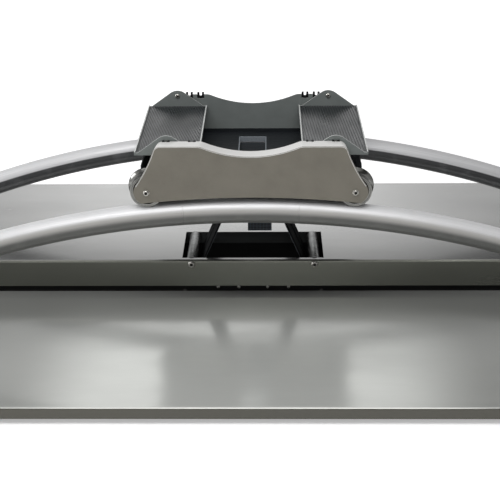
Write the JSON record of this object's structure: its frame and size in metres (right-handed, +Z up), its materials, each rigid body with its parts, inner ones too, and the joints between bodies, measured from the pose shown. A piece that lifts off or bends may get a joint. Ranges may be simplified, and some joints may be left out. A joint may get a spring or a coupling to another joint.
{
  "type": "ski simulator",
  "caption": "Ski simulator: a carriage pulled back by elastic bands rolls on arched rail tubes and carries swinging foot trays.",
  "frame": {"origin": "on the floor, below the middle of the base's outline", "axes": "+X along the rails to the user's right in the picture, +Y from the front deck to the rear deck, +Z up"},
  "size_m": [2.13, 1.146, 0.5393],
  "materials": {
    "deck_sheet": "glossy silver",
    "frame_paint": "satin black",
    "rail_steel": "polished",
    "rubber": "matt black",
    "band": "matt black",
    "black_plastic": "fine texture",
    "bolt_steel": "satin",
    "roller_metal": "satin",
    "side_paint": "satin warm grey",
    "wheel_metal": "satin grey",
    "mat_rubber": "matt blue-grey, fine ribs"
  },
  "bodies": {
    "base": {"front_deck": "deck_sheet", "rear_deck": "deck_sheet", "front_floor_tube": "frame_paint", "inner_beam_front": "frame_paint", "inner_beam_rear": "frame_paint", "rear_beam": "frame_paint", "end_crossmember_left": "frame_paint", "end_crossmember_right": "frame_paint", "rail_front": "rail_steel", "rail_rear": "rail_steel", "rail_stop_front_left": "rubber", "rail_stop_front_right": "rubber", "rail_stop_rear_left": "rubber", "rail_stop_rear_right": "rubber", "foot_front_left": "rubber", "foot_front_right": "rubber", "foot_rear_left": "rubber", "foot_rear_right": "rubber", "deck_roller_axle_left": "bolt_steel", "deck_roller_axle_right": "bolt_steel", "guide_roller_axle_left": "bolt_steel", "guide_roller_axle_right": "bolt_steel", "band_anchor_left": "frame_paint", "band_anchor_right": "frame_paint", "band_inner_run_left": "band", "band_inner_run_right": "band", "band_free_left": "band", "band_free_right": "band"},
    "carriage": {"cover_front": "side_paint", "cover_rear": "side_paint", "inner_plate_front": "side_paint", "inner_plate_rear": "side_paint", "pan": "black_plastic", "band_clamp": "black_plastic", "band_tongue": "black_plastic", "saddle_strip_front_left": "black_plastic", "saddle_strip_front_right": "black_plastic", "saddle_strip_rear_left": "black_plastic", "saddle_strip_rear_right": "black_plastic", "wheel_axle_front_left": "bolt_steel", "wheel_axle_front_right": "bolt_steel", "wheel_axle_rear_left": "bolt_steel", "wheel_axle_rear_right": "bolt_steel"},
    "wheel_front_left": {"wheel_front_left": "wheel_metal"},
    "wheel_front_right": {"wheel_front_right": "wheel_metal"},
    "wheel_rear_left": {"wheel_rear_left": "wheel_metal"},
    "wheel_rear_right": {"wheel_rear_right": "wheel_metal"},
    "foot_tray_left": {"tray_left": "side_paint", "mat_left": "mat_rubber", "pivot_pin_left_front": "bolt_steel", "pivot_pin_left_rear": "bolt_steel"},
    "foot_tray_right": {"tray_right": "side_paint", "mat_right": "mat_rubber", "pivot_pin_right_front": "bolt_steel", "pivot_pin_right_rear": "bolt_steel"},
    "deck_roller_left": {"deck_roller_left": "roller_metal"},
    "guide_roller_left": {"guide_roller_left": "roller_metal"},
    "deck_roller_right": {"deck_roller_right": "roller_metal"},
    "guide_roller_right": {"guide_roller_right": "roller_metal"}
  },
  "joints": [
    {"name": "carriage_roll", "type": "hinge", "parent": "base", "child": "carriage", "pos_m": [0, 0.0375, -1.8695], "axis": [0, 1, 0], "range_deg": [-13, 13], "stiffness_Nm_per_rad": 3000, "deforming": ["band_free_left", "band_free_right"]},
    {"name": "wheel_front_left_spin", "type": "hinge", "parent": "carriage", "child": "wheel_front_left", "pos_m": [-0.2459, -0.2125, 0.42516], "axis": [0, 1, 0], "range_deg": [-800, 800]},
    {"name": "wheel_front_right_spin", "type": "hinge", "parent": "carriage", "child": "wheel_front_right", "pos_m": [0.2459, -0.2125, 0.42516], "axis": [0, 1, 0], "range_deg": [-800, 800]},
    {"name": "wheel_rear_left_spin", "type": "hinge", "parent": "carriage", "child": "wheel_rear_left", "pos_m": [-0.2459, 0.2875, 0.42516], "axis": [0, 1, 0], "range_deg": [-800, 800]},
    {"name": "wheel_rear_right_spin", "type": "hinge", "parent": "carriage", "child": "wheel_rear_right", "pos_m": [0.2459, 0.2875, 0.42516], "axis": [0, 1, 0], "range_deg": [-800, 800]},
    {"name": "tray_swing_left", "type": "hinge", "parent": "carriage", "child": "foot_tray_left", "pos_m": [-0.2019, 0.0375, 0.5228], "axis": [0, 1, 0], "range_deg": [-18, 18]},
    {"name": "tray_swing_right", "type": "hinge", "parent": "carriage", "child": "foot_tray_right", "pos_m": [0.2019, 0.0375, 0.5228], "axis": [0, 1, 0], "range_deg": [-18, 18]},
    {"name": "deck_roller_left_spin", "type": "hinge", "parent": "base", "child": "deck_roller_left", "pos_m": [-0.163, 0.1073, 0.1262], "axis": [0, 1, 0], "continuous": true},
    {"name": "guide_roller_left_spin", "type": "hinge", "parent": "base", "child": "guide_roller_left", "pos_m": [-0.18298, 0.1073, 0.046], "axis": [0, 1, 0], "continuous": true},
    {"name": "deck_roller_right_spin", "type": "hinge", "parent": "base", "child": "deck_roller_right", "pos_m": [0.163, 0.1073, 0.1262], "axis": [0, 1, 0], "continuous": true},
    {"name": "guide_roller_right_spin", "type": "hinge", "parent": "base", "child": "guide_roller_right", "pos_m": [0.18298, 0.1073, 0.046], "axis": [0, 1, 0], "continuous": true}
  ],
  "couplings": [
    {"joint": "wheel_front_left_spin", "follows": "carriage_roll", "ratio": 60.533},
    {"joint": "wheel_front_right_spin", "follows": "carriage_roll", "ratio": 60.533},
    {"joint": "wheel_rear_left_spin", "follows": "carriage_roll", "ratio": 60.533},
    {"joint": "wheel_rear_right_spin", "follows": "carriage_roll", "ratio": 60.533}
  ]
}
